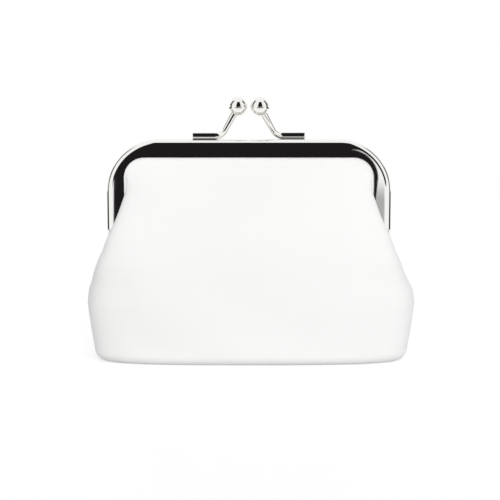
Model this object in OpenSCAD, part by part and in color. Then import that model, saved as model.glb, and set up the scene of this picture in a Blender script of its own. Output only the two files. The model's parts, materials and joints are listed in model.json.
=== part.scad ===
// Kiss-lock coin purse: a soft pouch hung in a hinged metal clasp frame.
// The front faces -Y, +X is to the right and the pouch stands on z = 0.

/* [Clasp frame] */
// Outer width across the two legs
frame_w = 85; // [70:1:110]
// Height of the top rail above the surface it stands on
frame_top = 66.1; // [62:0.1:85]
// Outer radius of the two upper corners
corner_r = 15.5; // [12:0.5:20]
// Height of a rail's face, across the channel's wall
face_h = 5.3; // [4.5:0.1:6.5]
// Radius of the two inner corners, where the pouch leaves the frame
mouth_r = 6; // [4:0.1:7]
// Thickness of one frame half, front to back
channel_t = 4.6; // [4.4:0.1:5.4]
// Rounding of the channel's outer edges
rim_r = 1.8; // [1.2:0.1:2.1]
// Sheet metal thickness
sheet_t = 0.6; // [0.4:0.05:0.7]
// Gap between the closed halves
half_gap = 0.4; // [0.3:0.05:0.8]

/* [Hinges] */
// Height of the hinge axis
hinge_z = 34; // [30:0.5:38]
// How far above the hinge axis a leg's channel ends
leg_clear = 5.2; // [5:0.1:7]
// Radius of a hinge ear
ear_r = 3.4; // [2.6:0.1:3.8]
// Width of the strip that carries an ear
ear_strip_w = 3; // [2.4:0.1:3.6]
// Sideways gap between a front ear and a back ear
ear_gap = 0.1; // [0.05:0.05:0.3]
// Radius of a rivet's shank
rivet_r = 1; // [0.8:0.05:1.4]
// Radius of a rivet's domed head
rivet_head_r = 1.9; // [1.7:0.1:2.4]
// Height of a rivet's outer head
rivet_head_h = 0.7; // [0.5:0.05:1]
// Radial clearance of a rivet in its ears
rivet_clear = 0.05; // [0.02:0.01:0.1]

/* [Clasp] */
// Diameter of a clasp ball
ball_d = 5.7; // [5:0.1:6]
// Sideways distance of a ball's centre from the middle
ball_x = 3.25; // [3.1:0.05:4]
// Height of a ball's centre above the top rail
ball_rise = 9.7; // [8:0.1:13]
// How far a ball leans over the other frame half
ball_lean = 0.4; // [0:0.05:0.8]
// Diameter of the rod that carries a ball
rod_d = 1.7; // [1.4:0.05:2]
// Where the base bar begins, from the middle
bar_inner = 8.2; // [7.5:0.1:10]
// Length of the base bar on the rail
bar_len = 8.7; // [6:0.1:12]
// Depth of a ball's seat on its rod
ball_seat = 1.4; // [1:0.1:2]

/* [Pouch] */
// Half depth of the pouch at its fullest
belly = 17.3; // [14:0.1:21]
// Height of the fullest section
belly_z = 17.5; // [15:0.5:20]
// How far the widest section stands out beyond the frame
flare = 6.6; // [4:0.1:9]
// How far the side narrows again towards the base
side_taper = 2.5; // [1:0.1:3.5]
// How far the front and back narrow again towards the base
face_taper = 1.1; // [0.5:0.1:2]
// Rounding of the base edge
base_r = 3; // [2.4:0.1:4]
// How deep the side folds in beside the hinge
tuck = 4.8; // [4:0.1:5.5]
// Rise of the fold line in the middle of a panel
fold_rise = 12; // [6:0.5:14]
// Thickness of the outer shell
shell_t = 0.8; // [0.6:0.05:0.9]
// Thickness of the interlining
interlining_t = 0.4; // [0.3:0.05:0.5]
// Thickness of the lining
lining_t = 0.25; // [0.15:0.05:0.3]
// Diameter of the paper cord that packs the channel
cord_d = 1.3; // [1:0.05:1.4]
// Diameter of the sewing thread
thread_d = 0.3; // [0.2:0.05:0.4]
// Stitch length
stitch_pitch = 3; // [2:0.25:5]

/* [Hidden] */
$fn = 64;

// Clearances and one overrun for every cut
layer_gap = 0.08;
edge_gap = 0.2;
lip_gap = 0.5;
channel_lead = 1;
seam_gap = 0.1;
fold_gap = 0.4;
head_gap = 0.05;
bend_swell = 0.05;
overrun = 1;

half_w = frame_w / 2;
corner_x = half_w - corner_r;
corner_z = frame_top - corner_r;
leg_end = hinge_z + leg_clear;
mouth_z = frame_top - face_h;
mouth_half_w = half_w - face_h;
mouth_corner = [mouth_half_w - mouth_r, mouth_z - mouth_r];
inner_face = half_gap / 2 + sheet_t;
outer_face = half_gap / 2 + channel_t - sheet_t;
rail_y = (half_gap + channel_t) / 2;
front_ear_x = half_w - sheet_t;
back_ear_x = front_ear_x - ear_gap - sheet_t;
ear_strip_y = half_gap / 2 + (channel_t - ear_strip_w) / 2;
silver = [0.82, 0.81, 0.78];
white = [0.95, 0.95, 0.94];

// The pouch's outer surface, with y counted outwards from the middle plane

// Side overhang beyond the frame's mouth, by height from the hinge to the mouth
overhang_shares = [[0, 1.243], [0.1, 1.093], [0.2, 0.876], [0.32, 0.564], [0.45, 0.284], [0.58, 0.056],
    [0.68, -0.19], [0.84, -0.55], [1, -0.95]];
// Side reach beyond the frame, by height from the base to the hinge
reach_shares = [[0.515, 1], [0.62, 0.94], [0.705, 0.77], [0.795, 0.59], [0.88, 0.38], [0.94, 0.24],
    [1, 0.12]];
// Depth of the fold beside the hinge, by the same height
tuck_shares = [[0.55, 0], [0.62, 0.04], [0.705, 0.25], [0.795, 0.67], [0.88, 0.98], [1, 1]];
// Where the widest point of a section lies between its end and its front, by height to the mouth
side_shares = [[0, 0.25], [0.35, 0.25], [0.45, 0.38], [0.5, 0.5], [0.56, 0.54], [0.65, 0.48],
    [0.7, 0.455], [0.76, 0.39], [0.82, 0.3], [1, 0.25]];
// How full a section is towards its sides: 1 is square, by height to the mouth
full_shares = [[0, 0.78], [0.56, 0.76], [0.8, 0.62], [1, 0.5]];
// How far a section's side leans inwards, by height to the mouth
lean_shares = [[0.7, 0], [0.82, 0.05], [1, 0.25]];
// How far a section keeps straight where it leaves the channel or the seam
end_pull_share = 0.7;
// How much of the front curve the fold line's rise takes up
fold_width_share = 0.625;
belly_power = 2.4;
taper_power = 1.2;

channel_y = outer_face - layer_gap;
seam_y = seam_gap / 2;
function mix(a, b, t) = a + (b - a) * t;
function arc_x(r, z) = corner_x + sqrt(max(0, r * r - pow(max(0, z - corner_z), 2)));
function mouth_x(z) =
    mouth_corner[0] + sqrt(max(0, pow(mouth_r - lip_gap, 2) - pow(max(0, z - mouth_corner[1]), 2)));
function flap_limit(z) = arc_x(corner_r - rim_r - edge_gap, z);
function base_inset(z) = z < base_r ? base_r - sqrt(base_r * base_r - pow(base_r - z, 2)) : 0;
function below(z) = max(0, (belly_z - z) / belly_z);
function above(z) = min(1, max(0, (mouth_z - lip_gap - z) / (mouth_z - lip_gap - belly_z)));
function depth(z) = z > belly_z
    ? mix(channel_y, belly, 1 - pow(1 - above(z), belly_power))
    : belly - face_taper * pow(below(z), taper_power) - base_inset(z);
function side_x(z) = z > hinge_z
    ? mouth_x(z) + face_h * lookup((z - hinge_z) / (mouth_z - hinge_z), overhang_shares)
    : half_w + flare * lookup(z / hinge_z, reach_shares) - side_taper * pow(below(z), taper_power)
        - base_inset(z);
function end_share(z) = min(1, max(0, (z - hinge_z) / (leg_clear - channel_lead)));
function flap_share(z) = pow(min(1, max(0, (z - hinge_z) / (leg_clear + channel_lead))), 3);
function end_x(z) = z > hinge_z
    ? mix(side_x(hinge_z) - tuck, min(mouth_x(z), flap_limit(z) - edge_gap), end_share(z))
    : side_x(z) - tuck * lookup(z / hinge_z, tuck_shares);
function end_y(z) = mix(seam_y, channel_y, end_share(z));
function flap_x(z) = z > hinge_z
    ? mix(end_x(z) + edge_gap, flap_limit(z), flap_share(z))
    : end_x(z) + edge_gap;

function bezier(a, b, c, d, t) = a * pow(1 - t, 3) + 3 * b * t * pow(1 - t, 2) + 3 * c * t * t * (1 - t)
    + d * pow(t, 3);
function share(z, table) = lookup(z / mouth_z, table);
function side_y(z) = mix(end_y(z), depth(z), share(z, side_shares));
function side_point(z) = [side_x(z), side_y(z)];
function side_pull(z) = [side_x(z) * (1 - share(z, lean_shares)),
    mix(side_y(z), depth(z), share(z, full_shares))];
function front_curve(z, t) = bezier([0, depth(z)], [side_x(z) * share(z, full_shares), depth(z)],
    side_pull(z), side_point(z), t);
function side_curve(z, t) = bezier(side_point(z), side_point(z) + (side_point(z) - side_pull(z)) / 2,
    [mix(end_x(z), side_x(z), 2 * share(z, lean_shares)), mix(end_y(z), side_y(z), end_pull_share)],
    [end_x(z), end_y(z)], t);

// Columns of points along a section: front curve, side curve, then the edge held in the channel
front_steps = 8;
side_steps = 4;
flap_steps = 1;
lower_columns = front_steps + side_steps;
columns = lower_columns + flap_steps;
function on_section(z, k) = k <= front_steps ? front_curve(z, k / front_steps)
    : k <= lower_columns ? side_curve(z, (k - front_steps) / side_steps)
    : [mix(end_x(z), flap_x(z), (k - lower_columns) / flap_steps), end_y(z)];
function fold_z(k) = hinge_z + fold_rise * pow(cos(90 * min(1, k / (front_steps * fold_width_share))), 2);

// Rows of the upper stretch, from the fold line to the channel's mouth, and then inside the channel
upper_shares = [0, 0.1, 0.22, 0.36, 0.5, 0.64, 0.78, 0.9, 1];
held_shares = [0.45, 0.9];
// Rows of the lower stretch by height to the hinge, with how much each follows the fold line
lower_shares = [[1, 1], [0.94, 0.85], [0.88, 0.7], [0.795, 0.48], [0.705, 0.28], [0.62, 0.1], [0.515, 0],
    [0.33, 0], [0.16, 0], [0.06, 0], [0.018, 0], [0, 0]];
// Rows across the base, by how much of the half depth is left
base_shares = [0.5, 0];
base_narrowing_share = 0.06;

function at_section(z, k) = let (p = on_section(z, k)) [p[0], p[1], z];
function upper_row(s, k) = at_section(mix(fold_z(k) + fold_gap / 2, mouth_z - lip_gap, s), k);
function held_row(s, k) = at_section(mix(mouth_z, frame_top - rim_r, s), k);
function lower_row(s, k) =
    at_section(max(0, hinge_z * s[0] + (fold_z(k) - hinge_z) * s[1] - (s[0] == 1 ? fold_gap / 2 : 0)), k);
function base_row(s, k) = let (p = on_section(0, k), seam_x = end_x(0) * (1 - base_narrowing_share))
    [mix(seam_x * k / lower_columns, p[0], s), mix(seam_y, p[1], s), 0];

// One row from the left edge to the right edge
function across(half) = concat([for (k = [len(half) - 1 : -1 : 1]) [-half[k][0], half[k][1], half[k][2]]], half);
upper_grid = concat(
    [for (s = [len(held_shares) - 1 : -1 : 0]) across([for (k = [0 : columns]) held_row(held_shares[s], k)])],
    [for (s = [len(upper_shares) - 1 : -1 : 0]) across([for (k = [0 : columns]) upper_row(upper_shares[s], k)])]);
lower_grid = concat(
    [for (s = lower_shares) across([for (k = [0 : lower_columns]) lower_row(s, k)])],
    [for (s = base_shares) across([for (k = [0 : lower_columns]) base_row(s, k)])]);

// Offset of a grid inwards, along its own normals. The row at the fold line is offset level, so that the
// two stretches keep their gap. Where a row and a column run the same way, as at the ends of the base's
// seam, the offset goes straight up.
function unit(v) = v / norm(v);
function inwards(g, i, j, fold_row) = let (
    along = g[i][min(j + 1, len(g[0]) - 1)] - g[i][max(j - 1, 0)],
    down = g[min(i + 1, len(g) - 1)][j] - g[max(i - 1, 0)][j],
    outwards = cross(along, down),
    level = [outwards[0], outwards[1], i == fold_row ? 0 : outwards[2]])
    norm(level) > 0 ? -unit(level) : [0, 0, 1];
function offset_point(g, i, j, fold_row, d) = let (p = g[i][j] + d * inwards(g, i, j, fold_row))
    [p[0], max(p[1], seam_y), p[2]];
function offset_grid(g, fold_row, d) =
    [for (i = [0 : len(g) - 1]) for (j = [0 : len(g[0]) - 1]) offset_point(g, i, j, fold_row, d)];

// A layer of a panel between two depths below the outer surface
module layer(g, fold_row, outer, thickness) {
    rows = len(g);
    cols = len(g[0]);
    count = rows * cols;
    // The diagonals of the two halves mirror each other, so none lies flat on the base's seam
    function outer_pair(a, left) = left ? [[a, a + cols, a + 1], [a + 1, a + cols, a + cols + 1]]
        : [[a, a + cols, a + cols + 1], [a, a + cols + 1, a + 1]];
    function turned(triangles) = [for (t = triangles) [t[0], t[2], t[1]]];
    faces = concat(
        [for (i = [0 : rows - 2]) for (j = [0 : cols - 2])
            each outer_pair(i * cols + j, j < (cols - 1) / 2)],
        [for (i = [0 : rows - 2]) for (j = [0 : cols - 2])
            each turned(outer_pair(count + i * cols + j, j < (cols - 1) / 2))],
        [for (j = [0 : cols - 2]) each [[j, j + 1, count + j + 1], [j, count + j + 1, count + j]]],
        [for (j = [0 : cols - 2]) let (a = count - cols + j)
            each [[a, a + count, a + 1], [a + 1, a + count, a + count + 1]]],
        [for (i = [0 : rows - 2]) let (a = i * cols)
            each [[a, a + count, a + cols], [a + cols, a + count, a + count + cols]]],
        [for (i = [0 : rows - 2]) let (a = i * cols + cols - 1)
            each [[a, a + cols, a + count], [a + cols, a + count + cols, a + count]]]);
    polyhedron(concat(offset_grid(g, fold_row, outer), offset_grid(g, fold_row, outer + thickness)), faces);
}

interlining_at = shell_t + layer_gap;
lining_at = interlining_at + interlining_t + layer_gap;

module to_front() { mirror([0, 1, 0]) children(); }
module both_sides() {
    children();
    mirror([1, 0, 0]) children();
}

module upper_layer(outer, thickness) { layer(upper_grid, len(upper_grid) - 1, outer, thickness); }
module lower_layer(outer, thickness) { layer(lower_grid, 0, outer, thickness); }
module shell_upper() { color(white) upper_layer(0, shell_t); }
module shell_lower() { color(white) lower_layer(0, shell_t); }
module interlining_upper() { color("gainsboro") upper_layer(interlining_at, interlining_t); }
module interlining_lower() { color("gainsboro") lower_layer(interlining_at, interlining_t); }
module lining_upper() { color("dimgray") upper_layer(lining_at, lining_t); }
module lining_lower() { color("dimgray") lower_layer(lining_at, lining_t); }

// Channel section: distance from the corner's centre by distance from the middle plane
module rounded_band(r_in, r_out, y_in, y_out, round_r) {
    translate([r_in, y_in]) square([r_out - round_r - r_in, y_out - y_in]);
    translate([r_in, y_in + round_r]) square([r_out - r_in, y_out - y_in - 2 * round_r]);
    for (y = [y_in + round_r, y_out - round_r]) translate([r_out - round_r, y]) circle(r = round_r);
}
module channel_section() {
    wall_r = corner_r - face_h - overrun;
    difference() {
        rounded_band(wall_r, corner_r, half_gap / 2, half_gap / 2 + channel_t, rim_r);
        rounded_band(wall_r - overrun, corner_r - sheet_t, inner_face, outer_face, rim_r - sheet_t);
    }
}

// Flat frame drawing in x and height, with thickness as its third axis, stood up so that y is thickness
module stood_up() { mirror([0, 1, 0]) rotate([90, 0, 0]) children(); }
module arch() {
    both_sides() translate([corner_x, corner_z, 0]) rotate_extrude(angle = 90) children();
    both_sides() translate([corner_x, leg_end, 0])
        rotate([-90, 0, 0]) linear_extrude(corner_z - leg_end) mirror([0, 1, 0]) children();
    translate([-corner_x, corner_z, 0]) rotate([90, 0, 90]) linear_extrude(2 * corner_x) children();
}

// The bent channel, its walls trimmed to the opening that the pouch hangs in
module channel() {
    difference() {
        stood_up() arch() channel_section();
        stood_up() translate([0, 0, -overrun]) linear_extrude(half_gap / 2 + channel_t + 2 * overrun) {
            translate([-mouth_half_w, leg_end - overrun])
                square([2 * mouth_half_w, mouth_corner[1] - leg_end + overrun]);
            translate([-mouth_corner[0], leg_end]) square([2 * mouth_corner[0], mouth_z - leg_end]);
            both_sides() translate(mouth_corner) circle(r = mouth_r);
        }
    }
}

// Plate that lies across x, drawn in y and height
module ear_plate(x) {
    translate([x, 0, 0]) rotate([90, 0, 90]) linear_extrude(sheet_t) children();
}
module ear_outline(top) {
    translate([0, hinge_z]) circle(r = ear_r);
    polygon([[ear_strip_y, top], [ear_strip_y + ear_strip_w, top], [ear_r, hinge_z], [ear_strip_y, hinge_z]]);
}
module ear_bore() {
    translate([back_ear_x - overrun, 0, hinge_z]) rotate([0, 90, 0])
        cylinder(r = rivet_r + rivet_clear, h = half_w - back_ear_x + 2 * overrun);
}
module ear_joggle() {
    step = ear_gap + sheet_t;
    translate([0, ear_strip_y + ear_strip_w, 0]) rotate([90, 0, 0]) linear_extrude(ear_strip_w)
        polygon([[front_ear_x, leg_end], [half_w, leg_end], [half_w - step, leg_end - 2 * step],
            [front_ear_x - step, leg_end - 2 * step]]);
}

module frame_front() {
    color(silver) to_front() {
        channel();
        both_sides() difference() {
            ear_plate(front_ear_x) ear_outline(leg_end);
            ear_bore();
        }
    }
}
module frame_back() {
    color(silver) {
        channel();
        both_sides() difference() {
            union() {
                ear_plate(back_ear_x) ear_outline(leg_end - 2 * (ear_gap + sheet_t));
                ear_joggle();
            }
            ear_bore();
        }
    }
}

module paper_cord() {
    cord_y = inner_face + layer_gap + cord_d / 2;
    color("tan") stood_up() arch()
        translate([corner_r - face_h / 2, cord_y]) circle(d = cord_d);
}

// Section of a domed head that stands on the height at, as its radius by its height
module head_section(at, r, h) {
    dome_r = (r * r + h * h) / (2 * h);
    intersection() {
        translate([0, at + h - dome_r]) circle(r = dome_r);
        translate([0, at]) square([r, h]);
    }
}
module hinge_rivet() {
    grip = half_w - back_ear_x + 2 * head_gap;
    color(silver) translate([back_ear_x - head_gap, 0, hinge_z]) rotate([0, 90, 0]) rotate_extrude() {
        square([rivet_r, grip]);
        head_section(grip, rivet_head_r, rivet_head_h);
        mirror([0, 1]) head_section(0, rivet_head_r, rivet_head_h / 2);
    }
}

// Round rod between two points
module rod(a, b, r) {
    v = b - a;
    translate(a) rotate([0, acos(v[2] / norm(v)), atan2(v[1], v[0])]) cylinder(r = r, h = norm(v));
}

// Clasp of the front half, left of the middle; the back clasp is the same turned half round
ball_at = [-ball_x, ball_lean, frame_top + ball_rise];
bend_at = [-bar_inner, -rail_y, frame_top + rod_d / 2];
seat_at = ball_at - unit(ball_at - bend_at) * (ball_d / 2 - ball_seat);
module bar_section() {
    round_r = rod_d / 4;
    square([rod_d / 2 - round_r, bar_len]);
    translate([0, round_r]) square([rod_d / 2, bar_len - round_r]);
    translate([rod_d / 2 - round_r, round_r]) circle(r = round_r);
}
module clasp_arm() {
    color(silver) {
        translate(bend_at - [bar_len, 0, 0]) rotate([0, 90, 0]) rotate_extrude() bar_section();
        translate(bend_at) sphere(r = rod_d / 2 + bend_swell);
        rod(bend_at, seat_at, rod_d / 2);
    }
}
module clasp_ball() {
    color(silver) difference() {
        translate(ball_at) sphere(d = ball_d);
        rod(seat_at, bend_at, rod_d / 2);
    }
}
module to_back() { rotate([0, 0, 180]) children(); }

// Rungs of thread that tie the two shells together along their seams
module rung() { rotate([90, 0, 0]) cylinder(d = thread_d, h = 4 * shell_t, center = true); }
module side_seam_thread() {
    color(white) both_sides()
        for (z = [base_r : stitch_pitch : hinge_z - stitch_pitch])
            translate([end_x(z) - shell_t / 2, 0, z]) rung();
}
module bottom_seam_thread() {
    reach = end_x(0) * (1 - base_narrowing_share) - base_r;
    color(white) for (x = [-reach : stitch_pitch : reach]) translate([x, 0, shell_t / 2]) rung();
}

frame_front();
frame_back();
clasp_arm();  // clasp_arm_front
to_back() clasp_arm();  // clasp_arm_back
clasp_ball();  // clasp_ball_front
to_back() clasp_ball();  // clasp_ball_back
mirror([1, 0, 0]) hinge_rivet();  // hinge_rivet_left
hinge_rivet();  // hinge_rivet_right
to_front() shell_upper();  // shell_front_upper
shell_upper();  // shell_back_upper
to_front() interlining_upper();  // interlining_front_upper
interlining_upper();  // interlining_back_upper
to_front() lining_upper();  // lining_front_upper
lining_upper();  // lining_back_upper
to_front() paper_cord();  // paper_cord_front
paper_cord();  // paper_cord_back
to_front() shell_lower();  // shell_front_lower
shell_lower();  // shell_back_lower
to_front() interlining_lower();  // interlining_front_lower
interlining_lower();  // interlining_back_lower
to_front() lining_lower();  // lining_front_lower
lining_lower();  // lining_back_lower
side_seam_thread();
bottom_seam_thread();
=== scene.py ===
"""Looks of a kiss-lock coin purse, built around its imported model. Metres; the front faces -Y."""
import json
import math

import bpy
import numpy as np
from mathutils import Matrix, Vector


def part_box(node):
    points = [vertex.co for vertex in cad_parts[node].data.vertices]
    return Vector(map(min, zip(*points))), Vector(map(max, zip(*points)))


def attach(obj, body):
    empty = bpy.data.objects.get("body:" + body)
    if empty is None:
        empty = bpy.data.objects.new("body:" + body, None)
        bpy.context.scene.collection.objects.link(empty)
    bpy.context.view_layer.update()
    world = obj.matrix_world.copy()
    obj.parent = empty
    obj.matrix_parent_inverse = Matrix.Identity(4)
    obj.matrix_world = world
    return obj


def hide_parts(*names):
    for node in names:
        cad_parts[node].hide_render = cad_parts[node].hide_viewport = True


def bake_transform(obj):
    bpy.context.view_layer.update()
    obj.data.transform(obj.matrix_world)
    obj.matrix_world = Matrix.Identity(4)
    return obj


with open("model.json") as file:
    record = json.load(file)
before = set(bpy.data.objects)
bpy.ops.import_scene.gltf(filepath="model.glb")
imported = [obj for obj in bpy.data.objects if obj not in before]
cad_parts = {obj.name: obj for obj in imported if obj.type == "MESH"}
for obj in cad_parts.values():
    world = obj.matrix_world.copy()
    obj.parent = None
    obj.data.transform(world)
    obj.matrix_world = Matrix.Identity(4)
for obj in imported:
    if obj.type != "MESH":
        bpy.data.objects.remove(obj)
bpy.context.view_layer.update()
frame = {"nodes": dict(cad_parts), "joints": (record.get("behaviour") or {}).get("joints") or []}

MM = 0.001

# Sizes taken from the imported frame
FRAME_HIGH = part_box("frame_back")[1]
HALF_W = FRAME_HIGH.x
FRAME_TOP = FRAME_HIGH.z
CHANNEL_BACK = FRAME_HIGH.y
HINGE_Z = frame["joints"][0]["pos_m"][2]
BALL_LOW, BALL_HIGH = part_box("clasp_ball_front")
BALL_AT = np.array((BALL_LOW + BALL_HIGH) / 2)
ARM_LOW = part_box("clasp_arm_front")[0]

# Sizes repeated from the part's source
HALF_GAP = 0.2 * MM
CORNER_R = 15.5 * MM
FACE_H = 5.3 * MM
MOUTH_R = 6.0 * MM
RIM_R = 1.8 * MM
SHEET_T = 0.6 * MM
LEG_CLEAR = 5.2 * MM
CHANNEL_LEAD = 1.0 * MM
LAYER_GAP = 0.08 * MM
EDGE_GAP = 0.2 * MM
LIP_GAP = 0.5 * MM
SEAM_Y = 0.05 * MM
BELLY = 17.3 * MM
BELLY_Z = 17.5 * MM
FLARE = 6.6 * MM
SIDE_TAPER = 2.5 * MM
FACE_TAPER = 1.1 * MM
BASE_R = 3.0 * MM
TUCK = 4.8 * MM
SHELL_T = 0.8 * MM
INTERLINING_T = 0.4 * MM
LINING_T = 0.25 * MM
STITCH_PITCH = 3.0 * MM
THREAD_D = 0.3 * MM
ROD_D = 1.7 * MM
BAR_INNER = 8.2 * MM
BALL_SEAT = 1.4 * MM
BELLY_POWER = 2.4
TAPER_POWER = 1.2
END_PULL_SHARE = 0.7
LEAD_SHARE = 0.3
BASE_NARROWING_SHARE = 0.06
HELD_SHARE = 0.9
OVERHANG_SHARES = [(0, 1.243), (0.1, 1.04), (0.2, 0.81), (0.32, 0.53), (0.45, 0.284), (0.58, 0.056),
                   (0.68, -0.19), (0.84, -0.55), (1, -0.95)]
REACH_SHARES = [(0.515, 1), (0.62, 0.94), (0.705, 0.77), (0.795, 0.59), (0.88, 0.38), (0.94, 0.24),
                (1, 0.12)]
TUCK_SHARES = [(0.55, 0), (0.62, 0.04), (0.705, 0.25), (0.795, 0.67), (0.88, 0.98), (1, 1)]
SIDE_SHARES = [(0, 0.25), (0.35, 0.25), (0.45, 0.38), (0.5, 0.5), (0.56, 0.54), (0.65, 0.48),
               (0.7, 0.455), (0.76, 0.39), (0.82, 0.3), (1, 0.25)]
FULL_SHARES = [(0, 0.78), (0.56, 0.76), (0.8, 0.62), (1, 0.5)]
LEAN_SHARES = [(0.7, 0), (0.82, 0.05), (1, 0.25)]

CORNER_X = HALF_W - CORNER_R
CORNER_Z = FRAME_TOP - CORNER_R
MOUTH_Z = FRAME_TOP - FACE_H
MOUTH_CORNER = (HALF_W - FACE_H - MOUTH_R, MOUTH_Z - MOUTH_R)
CHANNEL_Y = CHANNEL_BACK - SHEET_T - LAYER_GAP
RAIL_Y = np.mean([CHANNEL_BACK, HALF_GAP])

# How far the pouch's lower part leans to the right, and where that starts
SWAY = 0.6 * MM
SWAY_FROM = 28 * MM
SWAY_OVER = 8 * MM

# How finely the pouch's grid is drawn
FRONT_COLUMNS = 56
SIDE_COLUMNS = 26
FLAP_COLUMNS = 4
HELD_ROWS = 5
WALL_ROWS = 84
ROUND_ROWS = 10
BASE_ROWS = 18
SOFTENING_ROUNDS = 60


def smooth_curve(table):
    """A function that runs smoothly through a table's points and never overshoots them."""
    xs, ys = np.array(table, float).T
    steps = np.diff(ys) / np.diff(xs)
    slopes = np.concatenate([steps[:1], np.zeros(len(xs) - 2), steps[-1:]])
    for i in range(1, len(xs) - 1):
        if steps[i - 1] * steps[i] > 0:
            slopes[i] = 2 / (1 / steps[i - 1] + 1 / steps[i])

    def value(x):
        x = min(max(x, xs[0]), xs[-1])
        i = min(int(np.searchsorted(xs, x, side="right")) - 1, len(xs) - 2)
        width = xs[i + 1] - xs[i]
        t = (x - xs[i]) / width
        return (ys[i] * (1 + 2 * t) * (1 - t) ** 2 + ys[i + 1] * t * t * (3 - 2 * t)
                + width * (slopes[i] * t * (1 - t) ** 2 + slopes[i + 1] * t * t * (t - 1)))
    return value


overhang = smooth_curve(OVERHANG_SHARES)
reach = smooth_curve(REACH_SHARES)
tuck = smooth_curve(TUCK_SHARES)
side_share = smooth_curve(SIDE_SHARES)
full_share = smooth_curve(FULL_SHARES)
lean_share = smooth_curve(LEAN_SHARES)


def mix(a, b, t):
    return a + (b - a) * t


def clamp(t):
    return min(1.0, max(0.0, t))


def smoothstep(t):
    t = np.clip(t, 0, 1)
    return t * t * (3 - 2 * t)


def arc_x(r, z):
    return CORNER_X + math.sqrt(max(0, r * r - max(0, z - CORNER_Z) ** 2))


def mouth_x(z):
    r = MOUTH_R - LIP_GAP
    return MOUTH_CORNER[0] + math.sqrt(max(0, r * r - max(0, z - MOUTH_CORNER[1]) ** 2))


def flap_limit(z):
    return arc_x(CORNER_R - RIM_R - EDGE_GAP, z)


def base_inset(z):
    return BASE_R - math.sqrt(BASE_R ** 2 - (BASE_R - z) ** 2) if z < BASE_R else 0.0


def below(z):
    return max(0, (BELLY_Z - z) / BELLY_Z)


def depth(z):
    if z > BELLY_Z:
        above = clamp((MOUTH_Z - LIP_GAP - z) / (MOUTH_Z - LIP_GAP - BELLY_Z))
        return mix(CHANNEL_Y, BELLY, 1 - (1 - above) ** BELLY_POWER)
    return BELLY - FACE_TAPER * below(z) ** TAPER_POWER - base_inset(z)


def side_x(z):
    if z > HINGE_Z:
        share = (z - HINGE_Z) / (MOUTH_Z - HINGE_Z)
        return mouth_x(z) + FACE_H * overhang(share)
    return HALF_W + FLARE * reach(z / HINGE_Z) - SIDE_TAPER * below(z) ** TAPER_POWER - base_inset(z)


def end_share(z):
    return clamp((z - HINGE_Z) / (LEG_CLEAR - CHANNEL_LEAD))


def end_x(z):
    if z > HINGE_Z:
        return mix(side_x(HINGE_Z) - TUCK, min(mouth_x(z), flap_limit(z) - EDGE_GAP), end_share(z))
    return side_x(z) - TUCK * tuck(z / HINGE_Z)


def end_y(z):
    return mix(SEAM_Y, CHANNEL_Y, end_share(z))


def flap_x(z):
    held = clamp((z - HINGE_Z) / (LEG_CLEAR + CHANNEL_LEAD)) ** 3
    return mix(end_x(z) + EDGE_GAP, flap_limit(z), held)


def bezier(a, b, c, d, t):
    a, b, c, d = (np.array(p) for p in (a, b, c, d))
    t = t[:, None]
    return a * (1 - t) ** 3 + 3 * b * t * (1 - t) ** 2 + 3 * c * t * t * (1 - t) + d * t ** 3


def section(z):
    """Half a section of the pouch's outer surface at one height: x and y from the middle to the edge."""
    share = z / MOUTH_Z
    deep, wide, end = depth(z), side_x(z), np.array([end_x(z), end_y(z)])
    side = np.array([wide, mix(end[1], deep, side_share(share))])
    pull = np.array([wide * (1 - lean_share(share)), mix(side[1], deep, full_share(share))])
    turn = [mix(end[0], wide, 2 * lean_share(share)), mix(end[1], side[1], END_PULL_SHARE)]
    front = bezier([0, deep], [wide * full_share(share), deep], pull, side,
                   np.linspace(0, 1, FRONT_COLUMNS + 1))
    lead = (side - pull) * min(0.5, LEAD_SHARE * np.linalg.norm(side - end) / np.linalg.norm(side - pull))
    turned = bezier(side, side + lead, turn, end, np.linspace(0, 1, SIDE_COLUMNS + 1))
    flap = np.column_stack([np.linspace(end[0], flap_x(z), FLAP_COLUMNS + 1),
                            np.full(FLAP_COLUMNS + 1, end[1])])
    return np.vstack([front, turned[1:], flap[1:]])


def half_row(points, z):
    """A row of the grid from the left edge to the right edge, from its right half."""
    right = np.column_stack([points, np.full(len(points), z)])
    return np.vstack([right[:0:-1] * [-1, 1, 1], right])


def pouch_grid():
    """The outer surface of one panel, as rows from the channel down to the base's seam, with y outwards."""
    held = np.linspace(mix(MOUTH_Z, FRAME_TOP - RIM_R, HELD_SHARE), MOUTH_Z, HELD_ROWS)
    wall = np.linspace(MOUTH_Z - LIP_GAP, BASE_R, WALL_ROWS)
    turn = BASE_R * (1 - np.sin(np.linspace(0, math.pi / 2, ROUND_ROWS + 1)[1:]))
    rows = [half_row(section(z), z) for z in (*held, *wall, *turn)]
    last = section(0.0)
    main = FRONT_COLUMNS + SIDE_COLUMNS
    seam_x = end_x(0) * (1 - BASE_NARROWING_SHARE)
    across = np.minimum(np.arange(len(last)) / main, 1)
    for s in np.linspace(1, 0, BASE_ROWS + 1)[1:]:
        flat = np.column_stack([mix(seam_x * across, last[:, 0], s), mix(SEAM_Y, last[:, 1], s)])
        rows.append(half_row(flat, 0.0))
    grid = np.array(rows)
    grid[..., 0] += SWAY * smoothstep((SWAY_FROM - grid[..., 2]) / SWAY_OVER)
    return grid


def outward_normals(grid):
    along = np.gradient(grid, axis=1)
    down = np.gradient(grid, axis=0)
    normals = np.cross(along, down)
    length = np.linalg.norm(normals, axis=2, keepdims=True)
    flat = length[..., 0] < 1e-15
    normals = normals / np.maximum(length, 1e-15)
    normals[flat] = [0, 0, -1]
    return normals


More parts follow.
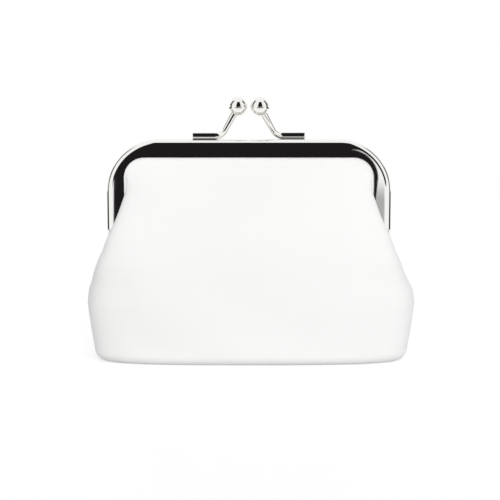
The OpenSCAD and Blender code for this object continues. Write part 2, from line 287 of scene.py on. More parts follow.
def softened(normals):
    """The normals evened out with their neighbours', so that deep layers don't cross themselves in bends."""
    for _ in range(SOFTENING_ROUNDS):
        wide = np.pad(normals, ((1, 1), (1, 1), (0, 0)), mode="edge")
        normals = normals * 2 + wide[:-2, 1:-1] + wide[2:, 1:-1] + wide[1:-1, :-2] + wide[1:-1, 2:]
        normals /= np.maximum(np.linalg.norm(normals, axis=2, keepdims=True), 1e-9)
    return normals


def offset(grid, normals, inwards):
    moved = grid - normals * inwards
    moved[..., 1] = np.maximum(moved[..., 1], SEAM_Y)
    return moved


def filled_cells(grid):
    """Which cells of the grid are cloth: the flaps exist only above the hinge."""
    rows, columns = grid.shape[:2]
    filled = np.ones((rows - 1, columns - 1), bool)
    low = grid[1:, 0, 2] < HINGE_Z
    filled[low, :FLAP_COLUMNS] = False
    filled[low, -FLAP_COLUMNS:] = False
    return filled


# The small relief that real sheet shows on top of the plain form
SEAM_ROLL_R = 0.8 * MM
PUCKER_SIZE = 0.05 * MM
PUCKER_START, PUCKER_REACH = 3 * MM, 3.5 * MM
PUCKER_PITCH, FINE_PUCKER_PITCH = 5.3 * MM, 3.7 * MM
FINE_PUCKER_SHARE = 0.7
LEG_RUN_START = 4 * MM
SLACK_SIZE = 0.3 * MM
SLACK_WIDTH, SLACK_HEIGHT = 11 * MM, 9 * MM
SLANTED_SLACK_WIDTH, SLANTED_SLACK_SHARE, SLACK_SLANT = 7 * MM, 0.6, 1.3
SLACK_FROM_MOUTH, SLACK_FROM_BASE, SLACK_FROM_SEAM = 20 * MM, 6 * MM, 5 * MM
SLACK_EDGE, SLACK_EDGE_FADE = 3 * MM, 9 * MM
CREASE_SIZE = 0.3 * MM
CREASE_START, CREASE_REACH, CREASE_BESIDE = 4 * MM, 11 * MM, 6 * MM
CREASE_COUNT = 6


def seam_roll(grid):
    """How far each point is drawn in where the sheet turns under beside a seam."""
    edge = np.clip(SEAM_ROLL_R - grid[..., 1], 0, SEAM_ROLL_R)
    fade = smoothstep((HINGE_Z - grid[..., 2]) / (2 * BASE_R))
    return (SEAM_ROLL_R - np.sqrt(SEAM_ROLL_R ** 2 - edge ** 2)) * fade


def to_mouth(x, z):
    """Distance from the channel's mouth, seen from the front: from the rail, a corner or a leg."""
    beside, above = np.abs(x) - MOUTH_CORNER[0], z - MOUTH_CORNER[1]
    from_leg = MOUTH_R - beside + np.maximum(HINGE_Z + LEG_CLEAR - z, 0)
    straight = np.minimum(MOUTH_R - above, from_leg)
    in_corner = (beside > 0) & (above > 0)
    return np.maximum(np.where(in_corner, MOUTH_R - np.hypot(beside, above), straight), 0)


def relief(grid, phase):
    """Puckers below the channel's mouth, slack between them and creases that run from the hinges."""
    x, y, z = np.moveaxis(grid, 2, 0)
    mouth = to_mouth(x, z)
    near = np.exp(-mouth / PUCKER_REACH) * smoothstep((mouth - LIP_GAP) / PUCKER_START)
    beside, above = np.maximum(np.abs(x) - MOUTH_CORNER[0], 0), np.maximum(z - MOUTH_CORNER[1], 0)
    run = np.sign(x) * (np.abs(x) - beside + MOUTH_R * np.arctan2(beside, above + 0.1 * MM)
                        + np.maximum(MOUTH_CORNER[1] - z, 0) * smoothstep(beside / LEG_RUN_START))
    fine = FINE_PUCKER_SHARE * np.sin(run * 2 * math.pi / FINE_PUCKER_PITCH + 2 * phase)
    pucker = (np.sin(run * 2 * math.pi / PUCKER_PITCH + phase) + fine) * near * PUCKER_SIZE
    free = (smoothstep((MOUTH_Z - z) / SLACK_FROM_MOUTH) * smoothstep(z / SLACK_FROM_BASE)
            * smoothstep(y / SLACK_FROM_SEAM))
    central = smoothstep((HALF_W - SLACK_EDGE - np.abs(x)) / SLACK_EDGE_FADE)
    slanted = SLANTED_SLACK_SHARE * np.sin((x + SLACK_SLANT * z) / SLANTED_SLACK_WIDTH + 3 * phase)
    slack = (np.sin(x / SLACK_WIDTH + 1.7 * phase) * np.cos(z / SLACK_HEIGHT + phase)
             + slanted) * free * central * SLACK_SIZE
    hinge_x, drop = side_x(HINGE_Z) - TUCK, HINGE_Z - z
    from_hinge = np.hypot(y, drop)
    angle = np.arctan2(y, np.maximum(drop, 0.01 * MM))
    at_side = smoothstep((np.abs(x) - hinge_x + CREASE_BESIDE) / CREASE_BESIDE) * (drop > 0)
    crease = at_side * smoothstep(from_hinge / CREASE_START) * np.exp(-(from_hinge / CREASE_REACH) ** 2) * (
        np.sin(CREASE_COUNT * angle + phase) * CREASE_SIZE)
    return pucker + slack + crease


def detailed(grid, normals, phase):
    """The outer shell's surface with its relief and its rolled seams."""
    shaped = grid + normals * relief(grid, phase)[..., None]
    tilt = np.arcsin(np.clip((BASE_R - grid[..., 2]) / BASE_R, 0, 1))
    inward = np.stack([-np.sign(grid[..., 0]) * np.cos(tilt), np.zeros_like(tilt), np.sin(tilt)], axis=2)
    shaped = shaped + inward * seam_roll(grid)[..., None]
    shaped[..., 1] = np.maximum(shaped[..., 1], SEAM_Y)
    shaped[..., 2] = np.maximum(shaped[..., 2], 0)
    return shaped


def cloth_coordinates(grid):
    """Lengths along the sheet, across from its middle and down from its top, as texture coordinates."""
    across = np.cumsum(np.linalg.norm(np.diff(grid, axis=1, prepend=grid[:, :1]), axis=2), axis=1)
    across -= across[:, [grid.shape[1] // 2]]
    down = np.cumsum(np.linalg.norm(np.diff(grid, axis=0, prepend=grid[:1]), axis=2), axis=0)
    return np.stack([across, np.broadcast_to(down[:, [grid.shape[1] // 2]], across.shape)], axis=2)


def closed_sheet(name, outer, inner, filled, coordinates):
    """A closed mesh between two grids, with a rim wherever a filled cell has no filled neighbour."""
    rows, columns = outer.shape[:2]
    count = rows * columns
    vertices = np.vstack([outer.reshape(-1, 3), inner.reshape(-1, 3)])
    faces = []
    for i, j in zip(*np.nonzero(filled)):
        a, b = i * columns + j, i * columns + j + 1
        c, d = b + columns, a + columns
        faces.append((a, d, c, b))
        faces.append((a + count, b + count, c + count, d + count))
        open_sides = [(i == 0 or not filled[i - 1, j], a, b),
                      (i == rows - 2 or not filled[i + 1, j], c, d),
                      (j == 0 or not filled[i, j - 1], d, a),
                      (j == columns - 2 or not filled[i, j + 1], b, c)]
        faces.extend((p, q, q + count, p + count) for is_open, p, q in open_sides if is_open)
    used = np.unique(np.array(faces))
    renumbered = np.full(2 * count, -1)
    renumbered[used] = np.arange(len(used))
    mesh = bpy.data.meshes.new(name)
    mesh.from_pydata(vertices[used].tolist(), [], renumbered[np.array(faces)].tolist())
    flat = np.vstack([coordinates.reshape(-1, 2)] * 2)[used]
    layer = mesh.uv_layers.new(name="cloth")
    corners = np.zeros(len(mesh.loops), int)
    mesh.loops.foreach_get("vertex_index", corners)
    layer.data.foreach_set("uv", flat[corners].astype(np.float32).ravel())
    return finished_mesh(name, mesh)


SHARP_FROM_DEGREES = 50


def finished_mesh(name, mesh):
    """An object in the scene for a mesh, smooth except at its sharp edges."""
    mesh.validate()
    mesh.shade_smooth()
    mesh.set_sharp_from_angle(angle=math.radians(SHARP_FROM_DEGREES))
    made = bpy.data.objects.new(name, mesh)
    bpy.context.scene.collection.objects.link(made)
    return made


# How flat-sided and how much taller a tube's upper half is at a flatness of 1
FLAT_POWER = 2.5
FLAT_RISE = 0.45


def section_point(a, flatness):
    """Across and up on a section of radius 1, which is round at a flatness of 0."""
    across, up = math.cos(a), math.sin(a)
    if up <= 0:
        return across, up
    power = 2 + flatness * FLAT_POWER
    reach_out = (abs(across) ** power + up ** power) ** (-1 / power)
    return across * reach_out, up * reach_out * (1 + flatness * FLAT_RISE)


def swept_tube(name, paths, radius, sides, flatness=None):
    """Closed tubes along paths of points, all in one object. A path may give its own radii and flatness."""
    vertices, faces = [], []
    for path in paths:
        points = np.array(path, float)
        radii = np.broadcast_to(radius, len(points))
        tangents = np.gradient(points, axis=0)
        tangents /= np.linalg.norm(tangents, axis=1, keepdims=True)
        side = np.cross(tangents[0], [0.0, 0.0, 1.0])
        if np.linalg.norm(side) < 0.1:
            side = np.cross(tangents[0], [0.0, 1.0, 0.0])
        first = len(vertices)
        for point, tangent, r, flat in zip(points, tangents, radii, flatness or [0] * len(points)):
            side = side - tangent * np.dot(side, tangent)
            side /= np.linalg.norm(side)
            up = np.cross(side, tangent)
            for k in range(sides):
                out, rise = section_point(2 * math.pi * k / sides, flat)
                vertices.append(point + r * (side * out + up * rise))
        for i in range(len(points) - 1):
            for k in range(sides):
                a, b = first + i * sides + k, first + i * sides + (k + 1) % sides
                faces.append((a, b, b + sides, a + sides))
        faces.append(tuple(range(first + sides - 1, first - 1, -1)))
        last = first + (len(points) - 1) * sides
        faces.append(tuple(range(last, last + sides)))
    mesh = bpy.data.meshes.new(name)
    mesh.from_pydata([tuple(v) for v in vertices], [], faces)
    return finished_mesh(name, mesh)


def facing(points, front):
    """Points with y outwards, turned to the front or the back half."""
    return points * [1, -1, 1] if front else points


# Materials
def new_material(name, **settings):
    """A node material whose shader has the given settings, with spaces in names written as underscores."""
    made = bpy.data.materials.new(name)
    made.use_nodes = True
    shader = made.node_tree.nodes["Principled BSDF"]
    for socket, value in settings.items():
        shader.inputs[socket.replace("_", " ")].default_value = value
    return made, made.node_tree, shader


def add_node(tree, kind, inputs=None, **settings):
    """A new node with its settings, and its inputs linked from sockets or set to values."""
    made = tree.nodes.new(kind)
    for name, value in settings.items():
        setattr(made, name, value)
    for name, value in (inputs or {}).items():
        if isinstance(value, bpy.types.NodeSocket):
            tree.links.new(value, made.inputs[name])
        else:
            made.inputs[name].default_value = value
    return made


def spread(tree, value, low, high):
    """A socket that takes a value from 0 to 1 over to the span from low to high."""
    return add_node(tree, "ShaderNodeMapRange", {"Value": value, "To Min": low, "To Max": high}).outputs[0]


def tint(tree, factor, dark, light):
    """A socket with a colour between two, by a factor."""
    made = add_node(tree, "ShaderNodeMix", {"Factor": factor}, data_type="RGBA")
    made.inputs["A"].default_value = (*dark, 1)
    made.inputs["B"].default_value = (*light, 1)
    return made.outputs["Result"]


def noise(tree, where, scale, detail=2.0, roughness=0.5):
    return add_node(tree, "ShaderNodeTexNoise", {"Vector": where, "Scale": scale, "Detail": detail,
                                                 "Roughness": roughness}).outputs["Fac"]


def bump(tree, shader, height, distance, strength):
    made = add_node(tree, "ShaderNodeBump", {"Height": height, "Distance": distance, "Strength": strength})
    tree.links.new(made.outputs["Normal"], shader.inputs["Normal"])


def coordinates_of(tree, kind="Object"):
    return add_node(tree, "ShaderNodeTexCoord").outputs[kind]


def combine(tree, operation, a, b):
    made = add_node(tree, "ShaderNodeMath", operation=operation)
    for socket, value in zip(made.inputs, (a, b)):
        if isinstance(value, bpy.types.NodeSocket):
            tree.links.new(value, socket)
        else:
            socket.default_value = value
    return made.outputs[0]


def leather():
    """Smooth white coated leather: a very fine pebble grain and faint unevenness of tone and gloss."""
    made, tree, shader = new_material("white_leather", Sheen_Weight=0.04, Sheen_Roughness=0.4)
    where = coordinates_of(tree)
    cells = add_node(tree, "ShaderNodeTexVoronoi", {"Vector": where, "Scale": 1500.0, "Randomness": 1.0},
                     feature="SMOOTH_F1").outputs["Distance"]
    fine = noise(tree, where, 4200.0, 3.0)
    broad = noise(tree, where, 28.0, 3.0)
    tree.links.new(tint(tree, broad, (0.915, 0.913, 0.905), (0.95, 0.95, 0.945)), shader.inputs["Base Color"])
    gloss = combine(tree, "ADD", spread(tree, broad, 0.4, 0.5), spread(tree, fine, -0.04, 0.04))
    tree.links.new(gloss, shader.inputs["Roughness"])
    grain = combine(tree, "ADD", cells, spread(tree, fine, 0.0, 0.5))
    bump(tree, shader, grain, 0.00004, 0.35)
    return made


def woven(name, dark, light, threads_per_metre, thickness, roughness):
    """Plain weave: two sets of threads that pass over and under each other, with painted shade where a thread
    passes under.
    """
    made, tree, shader = new_material(name, Roughness=roughness, Sheen_Weight=0.15, Sheen_Roughness=0.5)
    where = coordinates_of(tree, "UV")
    parts = add_node(tree, "ShaderNodeSeparateXYZ", {"Vector": where})
    turn = math.pi * threads_per_metre
    across = combine(tree, "SINE", combine(tree, "MULTIPLY", parts.outputs["X"], turn), 0.0)
    down = combine(tree, "SINE", combine(tree, "MULTIPLY", parts.outputs["Y"], turn), 0.0)
    over = combine(tree, "MULTIPLY", across, down)
    height = spread(tree, combine(tree, "ADD", combine(tree, "MULTIPLY", over, 0.5), 0.5), 0.0, 1.0)
    fibre = noise(tree, where, 2600.0, 3.0, 0.6)
    # Painted shade: the colour is darker where a thread dips under the other set, mixed with the fibres' own
    # uneven tone.
    shade = combine(tree, "ADD", combine(tree, "MULTIPLY", height, 0.7),
                    combine(tree, "MULTIPLY", fibre, 0.3))
    tree.links.new(tint(tree, shade, dark, light), shader.inputs["Base Color"])
    bump(tree, shader, shade, thickness, 0.8)
    return made


def felt():
    made, tree, shader = new_material("pressed_felt", Roughness=0.95, Sheen_Weight=0.3)
    where = coordinates_of(tree)
    fluff = noise(tree, where, 1800.0, 6.0, 0.7)
    tree.links.new(tint(tree, fluff, (0.74, 0.73, 0.69), (0.88, 0.87, 0.84)), shader.inputs["Base Color"])
    bump(tree, shader, fluff, 0.0002, 0.7)
    return made


def twisted(name, dark, light, turns_per_metre, thickness, roughness):
    """Twisted strands: slanting bands along a cord or thread, with painted shade in the grooves between the
    strands.
    """
    made, tree, shader = new_material(name, Roughness=roughness)
    where = coordinates_of(tree)
    bands = add_node(tree, "ShaderNodeTexWave", {"Vector": where, "Scale": turns_per_metre,
                                                 "Distortion": 1.0, "Detail": 2.0},
                     wave_type="BANDS", bands_direction="DIAGONAL").outputs["Fac"]
    fibre = noise(tree, where, 3000.0, 4.0, 0.6)
    # Painted shade: the slanting bands darken the grooves between the strands, and the fibre noise adds the
    # cord's own uneven tone.
    shade = combine(tree, "MULTIPLY", bands, spread(tree, fibre, 0.6, 1.0))
    tree.links.new(tint(tree, shade, dark, light), shader.inputs["Base Color"])
    bump(tree, shader, shade, thickness, 0.8)
    return made


def plated(name, dark, light, gloss_low, gloss_high, scratch, dent):
    """Mirror plating: fine handling marks in the gloss, slow waves in the sheet and faint scratches."""
    made, tree, shader = new_material(name, Metallic=1.0)
    where = coordinates_of(tree)
    marks = noise(tree, where, 220.0, 5.0, 0.6)
    waves = noise(tree, where, 70.0, 1.0)
    stretched = add_node(tree, "ShaderNodeMapping", {"Vector": where, "Scale": (300.0, 4000.0, 4000.0)})
    lines = noise(tree, stretched.outputs["Vector"], 1.0, 2.0)
    tree.links.new(tint(tree, marks, dark, light), shader.inputs["Base Color"])
    tree.links.new(spread(tree, marks, gloss_low, gloss_high), shader.inputs["Roughness"])
    height = combine(tree, "ADD", waves, combine(tree, "MULTIPLY", lines, scratch))
    bump(tree, shader, height, dent, 0.25)
    return made


LEATHER = leather()
LINING = woven("lining_weave", (0.13, 0.13, 0.135), (0.4, 0.4, 0.41), 2600.0, 0.00015, 0.75)
FELT = felt()
PAPER = twisted("twisted_paper", (0.5, 0.39, 0.26), (0.78, 0.66, 0.5), 160.0, 0.00015, 0.85)
THREAD = twisted("white_thread", (0.78, 0.78, 0.77), (0.95, 0.95, 0.94), 900.0, 0.00004, 0.6)
FRAME_METAL = plated("frame_plating", (0.86, 0.855, 0.835), (0.94, 0.935, 0.915), 0.0, 0.02, 0.03, 0.01 * MM)
CLASP_METAL = plated("clasp_plating", (0.85, 0.835, 0.8), (0.93, 0.92, 0.885), 0.0, 0.04, 0.0, 0.04 * MM)
RIVET_METAL = plated("rivet_plating", (0.7, 0.69, 0.67), (0.84, 0.83, 0.81), 0.08, 0.2, 0.06, 0.1 * MM)


def paint(piece, made):
    piece.data.materials.clear()
    piece.data.materials.append(made)
    for face in piece.data.polygons:
        face.material_index = 0


# The pouch: three layers to a panel, each one sheet from the channel to the seams
GRID = pouch_grid()
NORMALS = outward_normals(GRID)
CELLS = filled_cells(GRID)
CLOTH = cloth_coordinates(GRID)
INTERLINING_AT = SHELL_T + LAYER_GAP
LINING_AT = INTERLINING_AT + INTERLINING_T + LAYER_GAP


def panel_layer(kind, half, outer, inner, made):
    """One layer of a panel, which runs from the pouch up into its frame half's channel."""
    front = half == "front"
    turned = [facing(g, front) for g in (outer, inner)]
    if front:
        turned = [g[:, ::-1] for g in turned]
    piece = closed_sheet(f"{kind}_{half}", *turned, CELLS, CLOTH)
    paint(piece, made)
    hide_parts(f"{kind}_{half}_upper", f"{kind}_{half}_lower")
    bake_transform(piece)


for half, phase in (("front", 0.6), ("back", 2.1)):
    shell = detailed(GRID, NORMALS, phase)
    shell_normals = outward_normals(shell)
    panel_layer("shell", half, shell, offset(shell, shell_normals, SHELL_T), LEATHER)
    soft = GRID + NORMALS * relief(GRID, phase)[..., None]
    soft_normals = softened(outward_normals(soft))
    panel_layer("interlining", half, offset(soft, soft_normals, INTERLINING_AT),
                offset(soft, soft_normals, INTERLINING_AT + INTERLINING_T), FELT)
    panel_layer("lining", half, offset(soft, soft_normals, LINING_AT),
                offset(soft, soft_normals, LINING_AT + LINING_T), LINING)


# Seam threads: short strands that cross each seam at the bottom of its groove
STITCH_REACH_SHARE = 1.1
STITCH_DEPTH_SHARE = 0.75
STITCH_POINTS = 7
STITCH_SIDES = 10


def strand(x, z, inward):
    """One stitch across the seam, bowed towards the outside."""
    reach_y = STITCH_REACH_SHARE * SEAM_ROLL_R
    at = np.array([x, 0, z]) + np.array(inward) * SEAM_ROLL_R * STITCH_DEPTH_SHARE
    ends = np.linspace(-1, 1, STITCH_POINTS)
    return [at + np.array([0, s * reach_y, 0]) + np.array(inward) * THREAD_D * (s * s) for s in ends]


def side_seam():
    heights = np.arange(BASE_R, HINGE_Z - STITCH_PITCH, STITCH_PITCH)
    return [strand(side * end_x(z), z, (-side, 0, 0)) for side in (-1, 1) for z in heights]


def bottom_seam():
    run = end_x(0) * (1 - BASE_NARROWING_SHARE) - BASE_R
    return [strand(x, 0, (0, 0, 1)) for x in np.arange(-run, run, STITCH_PITCH)]


for name, paths in (("side_seam_thread", side_seam()), ("bottom_seam_thread", bottom_seam())):
    stitches = swept_tube(name.replace("thread", "stitches"), paths, THREAD_D / 2, STITCH_SIDES)
    paint(stitches, THREAD)
    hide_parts(name)
    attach(stitches, "root")


# Clasp arms: one bent rod each, with a flattened bar that lies on the rail
ARM_BEND_R = 3.2 * MM
ARM_STEPS = 14
ARM_RINGS = 12
ARM_SIDES = 48
BAR_SHARES = (0, 0.015, 0.05, 0.5, 0.95)
CUT_END_SHARE = 0.93
ARM_SWELL = (1.04, 1.32)


def arm_path():
    """Centreline of the front arm, left of the middle: along the rail, round the bend and up to the ball."""
    start = np.array([ARM_LOW.x, -RAIL_Y, FRAME_TOP + ROD_D / 2])
    corner = np.array([-BAR_INNER, -RAIL_Y, FRAME_TOP + ROD_D / 2])
    rise = BALL_AT - corner
    rise /= np.linalg.norm(rise)
    seat = BALL_AT - rise * (BALL_HIGH.x - BALL_LOW.x) / 2 + rise * BALL_SEAT
    turn = math.acos(rise[0])
    tangent_length = ARM_BEND_R * math.tan(turn / 2)
    begin, finish_at = corner - [tangent_length, 0, 0], corner + rise * tangent_length
    bend = [(1 - t) ** 2 * begin + 2 * t * (1 - t) * corner + t * t * finish_at
            for t in np.linspace(0, 1, ARM_STEPS)]
    bar = [mix(start, begin, t) for t in BAR_SHARES]
    arm = [mix(finish_at, seat, t) for t in np.linspace(0, 1, ARM_RINGS + 1)[1:]]
    path = np.array([*bar, *bend, *arm])
    along = np.clip((path[:, 0] - begin[0]) / (seat[0] - begin[0]), 0, 1)
    path[:, 1] = mix(-RAIL_Y, seat[1], smoothstep(along))
    return path


def arm_radii(count):
    """The rod's radius along its path: a small chamfer at the cut end, and wider again towards the ball."""
    radii = np.full(count, ROD_D / 2)
    radii[0] *= CUT_END_SHARE
    radii[-ARM_RINGS:] *= np.linspace(*ARM_SWELL, ARM_RINGS)
    return radii


for half, turned in (("front", 1), ("back", -1)):
    path = arm_path() * [turned, turned, 1]
    flatness = [1] * len(BAR_SHARES) + list(np.linspace(1, 0, ARM_STEPS)) + [0] * ARM_RINGS
    arm = swept_tube(f"clasp_rod_{half}", [path], arm_radii(len(path)), sides=ARM_SIDES, flatness=flatness)
    paint(arm, CLASP_METAL)
    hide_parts(f"clasp_arm_{half}")
    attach(arm, f"{half}_half")

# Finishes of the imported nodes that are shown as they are
for node, made in (("frame", FRAME_METAL), ("clasp_ball", CLASP_METAL), ("paper_cord", PAPER)):
    for half in ("front", "back"):
        paint(frame["nodes"][f"{node}_{half}"], made)
for side in ("left", "right"):
    paint(frame["nodes"][f"hinge_rivet_{side}"], RIVET_METAL)


# Stage
def soft_light(name, azimuth, elevation, strength, width):
    """Even light from one direction, in degrees; azimuth 0 is the front and positive is to the right."""
    lamp = bpy.data.lights.new(name, "SUN")
    lamp.energy, lamp.angle = strength, math.radians(width)
    made = bpy.data.objects.new(name, lamp)
    a, e = math.radians(azimuth), math.radians(elevation)
    at = Vector((math.sin(a) * math.cos(e), -math.cos(a) * math.cos(e), math.sin(e)))
    made.location = at
    made.rotation_euler = at.to_track_quat("Z", "Y").to_euler()
    made.visible_glossy = False
    bpy.context.scene.collection.objects.link(made)


# Light that falls on matt surfaces from every side, and how much more comes from the front and the right
AMBIENT = 0.54
AMBIENT_FRONT = 0.28
AMBIENT_RIGHT = 0.12

# What the metal mirrors: a white tent with dark openings in front and behind, flags beside them and a seam.
# All are given by the parts of a direction of length 1.
ROOM_COLOUR = (0.014, 0.012, 0.013)
OPENING_LEFT = -0.1125
OPENING_CORNER = (0.0836, -0.0597)
OPENING_CORNER_R = 0.024
OPENING_LEAN = 0.115
OPENING_LOW = -0.14
FACET_RIGHT = 0.1125
FACET_LOW, FACET_HIGH = -0.16, -0.068
COLUMN_MIDDLE = 0.06
COLUMN_LOW, COLUMN_TOP = -0.0365, 0.86
COLUMN_OVERLAP = 0.02
COLUMN_HALF, COLUMN_SPREAD = 0.22, 0.32
COLUMN_CORNER, COLUMN_CORNER_FROM = 2.0, 0.06
FOOT_HALF, FOOT_LOW = 0.66, -0.3
FOOT_SIDE_EDGE, FOOT_EDGE = 0.1, 0.06
FLAG_BESIDE = (0.3, 0.5)
FLAG_NEAR, FLAG_FAR, FLAG_FAR_ABOVE = -0.1, 0.8, 0.3
FLAG_LOW, FLAG_HIGH = -0.25, 0.8
FLAG_SHORTENED = (-0.1, 0.0)
FLAG_EDGE, FLAG_FAR_EDGE = 0.15, 0.05
SEAM_WAY = (-0.41, 0.41, 0.81)
SEAM_WIDTH, SEAM_EDGE = 0.11, 0.08
SEAM_BESIDE = (0.28, 0.36)
SEAM_NEAR, SEAM_FAR = 0.05, 0.45
SEAM_LOW = (-0.05, 0.0)
FLAG_DARKNESS, SEAM_DARKNESS, FACET_DARKNESS = 0.97, 0.9, 0.55
FACING_EDGE = 0.1
SHARP_EDGE = 0.0012
SOFT_EDGE = 0.04

FLOOR_DROP = 0.01 * MM
FLOOR_X = 0.28
FLOOR_FRONT = -0.2
FLOOR_BACK = 0.6
FLOOR_TONE = 0.7
FLOOR_LIFT = 0.51


def step(tree, value, low, high):
    """A socket that goes smoothly from 0 to 1 as the value goes from low to high, whichever is larger."""
    ends = {"From Min": min(low, high), "From Max": max(low, high), "To Min": float(low > high),
            "To Max": float(low < high)}
    return add_node(tree, "ShaderNodeMapRange", {"Value": value, **ends},
                    interpolation_type="SMOOTHSTEP").outputs[0]


def every(tree, *factors):
    """The product of several sockets."""
    product = factors[0]
    for factor in factors[1:]:
        product = combine(tree, "MULTIPLY", product, factor)
    return product


def inside(tree, value, low, high, edge):
    """A socket that is 1 between low and high and fades over the edge's width at both ends."""
    return every(tree, step(tree, value, low - edge / 2, low + edge / 2),
                 step(tree, value, high + edge / 2, high - edge / 2))


def mirrored_room(tree, x, y, z):
    """How dark the room is in each direction, from 0 to 1, as the metal sees it."""
    ahead = step(tree, y, 0.0, -FACING_EDGE)
    level = step(tree, combine(tree, "ABSOLUTE", y, 0.0), 0.0, FACING_EDGE)
    rise = combine(tree, "MAXIMUM", combine(tree, "SUBTRACT", z, OPENING_CORNER[1]), 0.0)
    drop = combine(tree, "MAXIMUM", combine(tree, "SUBTRACT", OPENING_CORNER[1], z), 0.0)
    leant = combine(tree, "ADD", combine(tree, "SUBTRACT", x, OPENING_CORNER[0]),
                    combine(tree, "MULTIPLY", drop, OPENING_LEAN))
    out = combine(tree, "MAXIMUM", leant, 0.0)
    reached = combine(tree, "POWER", combine(tree, "ADD", combine(tree, "MULTIPLY", out, out),
                                             combine(tree, "MULTIPLY", rise, rise)), 0.5)
    opening = every(tree, level, step(tree, x, OPENING_LEFT - SHARP_EDGE / 2, OPENING_LEFT + SHARP_EDGE / 2),
                    step(tree, reached, OPENING_CORNER_R + SHARP_EDGE / 2, OPENING_CORNER_R - SHARP_EDGE / 2),
                    step(tree, z, OPENING_LOW - SOFT_EDGE / 2, OPENING_LOW + SOFT_EDGE / 2))
    from_middle = combine(tree, "ABSOLUTE", combine(tree, "SUBTRACT", x, COLUMN_MIDDLE), 0.0)
    narrowed = combine(tree, "ADD", from_middle, combine(tree, "MULTIPLY", z, COLUMN_SPREAD / COLUMN_TOP))
    corner = combine(tree, "MAXIMUM", combine(tree, "SUBTRACT", COLUMN_CORNER_FROM, z), 0.0)
    narrowed = combine(tree, "ADD", narrowed, combine(tree, "MULTIPLY", corner, COLUMN_CORNER))
    overlap = combine(tree, "MULTIPLY", COLUMN_OVERLAP,
                      step(tree, x, OPENING_CORNER[0] + 2 * SHARP_EDGE, OPENING_CORNER[0] - 2 * SHARP_EDGE))
    raised = combine(tree, "ADD", z, overlap)
    column = every(tree, ahead, step(tree, narrowed, COLUMN_HALF + COLUMN_SPREAD + SOFT_EDGE / 2,
                                     COLUMN_HALF + COLUMN_SPREAD - SOFT_EDGE / 2),
                   step(tree, raised, COLUMN_LOW - SHARP_EDGE, COLUMN_LOW + SHARP_EDGE),
                   step(tree, z, COLUMN_TOP + SOFT_EDGE / 4, COLUMN_TOP - SOFT_EDGE / 4))
    foot = every(tree, ahead,
                 inside(tree, x, COLUMN_MIDDLE - FOOT_HALF, COLUMN_MIDDLE + FOOT_HALF, FOOT_SIDE_EDGE),
                 inside(tree, z, FOOT_LOW, OPENING_LOW, FOOT_EDGE))
    beside = combine(tree, "ABSOLUTE", x, 0.0)
    shortened = combine(tree, "MULTIPLY", step(tree, z, *FLAG_SHORTENED), FLAG_FAR - FLAG_FAR_ABOVE)
    flags = every(tree, inside(tree, y, FLAG_NEAR, FLAG_FAR, FLAG_EDGE), step(tree, beside, *FLAG_BESIDE),
                  step(tree, combine(tree, "ADD", y, shortened), FLAG_FAR + FLAG_FAR_EDGE,
                       FLAG_FAR - FLAG_FAR_EDGE),
                  inside(tree, z, FLAG_LOW, FLAG_HIGH, FLAG_EDGE))
    across = combine(tree, "MULTIPLY", beside, SEAM_WAY[0])
    for part, way in ((y, SEAM_WAY[1]), (z, SEAM_WAY[2])):
        across = combine(tree, "ADD", across, combine(tree, "MULTIPLY", part, way))
    seam = every(tree, inside(tree, across, -SEAM_WIDTH, SEAM_WIDTH, SEAM_EDGE),
                 step(tree, beside, *SEAM_BESIDE), inside(tree, y, SEAM_NEAR, SEAM_FAR, FACING_EDGE),
                 step(tree, z, *SEAM_LOW))
    facet = every(tree, ahead, inside(tree, x, OPENING_CORNER[0], FACET_RIGHT, SHARP_EDGE),
                  inside(tree, z, FACET_LOW, FACET_HIGH, SOFT_EDGE / 2))
    shade = opening
    for part, darkness in ((column, 1.0), (foot, 1.0), (flags, FLAG_DARKNESS), (seam, SEAM_DARKNESS),
                           (facet, FACET_DARKNESS)):
        shade = combine(tree, "MAXIMUM", shade, combine(tree, "MULTIPLY", part, darkness))
    return shade


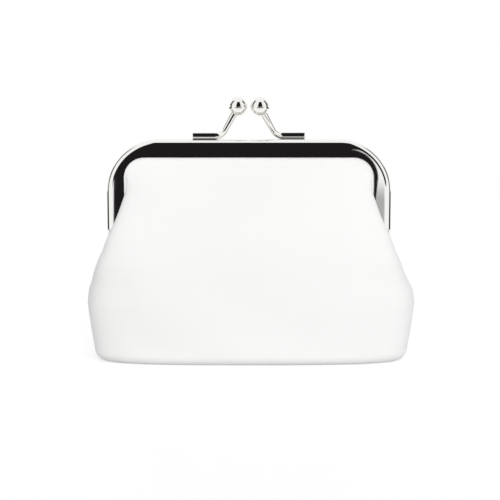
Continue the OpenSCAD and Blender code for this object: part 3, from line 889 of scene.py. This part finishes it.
def studio_world():
    """White to the camera, light on matt surfaces that is fuller from the front, and a room for the metal."""
    world = bpy.data.worlds.new("studio")
    bpy.context.scene.world = world
    world.use_nodes = True
    tree = world.node_tree
    tree.nodes.clear()
    path = add_node(tree, "ShaderNodeLightPath")
    x, y, z = add_node(tree, "ShaderNodeSeparateXYZ", {"Vector": coordinates_of(tree, "Generated")}).outputs
    light = AMBIENT
    for part, more in ((y, -AMBIENT_FRONT), (x, AMBIENT_RIGHT)):
        light = combine(tree, "ADD", light, combine(tree, "MULTIPLY", part, more))
    ambient = add_node(tree, "ShaderNodeBackground", {"Color": (1, 1, 1, 1), "Strength": light})
    mirror_colour = tint(tree, mirrored_room(tree, x, y, z), (1, 1, 1), ROOM_COLOUR)
    mirror_view = add_node(tree, "ShaderNodeBackground", {"Strength": 1.0, "Color": mirror_colour})
    backdrop = add_node(tree, "ShaderNodeBackground", {"Color": (1, 1, 1, 1), "Strength": 1.0})
    seen = add_node(tree, "ShaderNodeMixShader", {"Fac": path.outputs["Is Glossy Ray"],
                                                  1: ambient.outputs[0], 2: mirror_view.outputs[0]})
    last = add_node(tree, "ShaderNodeMixShader", {"Fac": path.outputs["Is Camera Ray"],
                                                  1: seen.outputs[0], 2: backdrop.outputs[0]})
    output = add_node(tree, "ShaderNodeOutputWorld")
    tree.links.new(last.outputs[0], output.inputs["Surface"])


def floor():
    mesh = bpy.data.meshes.new("floor")
    corners = [(-FLOOR_X, FLOOR_FRONT, 0), (FLOOR_X, FLOOR_FRONT, 0), (FLOOR_X, FLOOR_BACK, 0),
               (-FLOOR_X, FLOOR_BACK, 0)]
    mesh.from_pydata(corners, [], [(0, 1, 2, 3)])
    made = bpy.data.objects.new("floor", mesh)
    made.location.z = -FLOOR_DROP
    bpy.context.scene.collection.objects.link(made)
    paper, tree, shader = new_material("floor_paper", Roughness=0.9)
    shader.inputs["Base Color"].default_value = (FLOOR_TONE, FLOOR_TONE, FLOOR_TONE, 1)
    path = add_node(tree, "ShaderNodeLightPath")
    lift = combine(tree, "MAXIMUM", path.outputs["Is Camera Ray"], path.outputs["Is Glossy Ray"])
    shader.inputs["Emission Color"].default_value = (1, 1, 1, 1)
    tree.links.new(combine(tree, "MULTIPLY", lift, FLOOR_LIFT), shader.inputs["Emission Strength"])
    made.data.materials.append(paper)


CAMERA_AT = (0.0, -0.36, 0.076)
CAMERA_LOOKS_AT = (0.0003, 0, 0.0326)
CAMERA_LENS = 86.0


def camera():
    lens = bpy.data.cameras.new("camera")
    lens.lens = CAMERA_LENS
    made = bpy.data.objects.new("camera", lens)
    made.location = CAMERA_AT
    towards = Vector(CAMERA_LOOKS_AT) - Vector(CAMERA_AT)
    made.rotation_euler = towards.to_track_quat("-Z", "Y").to_euler()
    bpy.context.scene.collection.objects.link(made)
    bpy.context.scene.camera = made


studio_world()
floor()
camera()
soft_light("key", azimuth=8, elevation=18, strength=1.2, width=32)
soft_light("fill", azimuth=180, elevation=10, strength=1.1, width=32)
bpy.context.scene.view_settings.view_transform = "Standard"
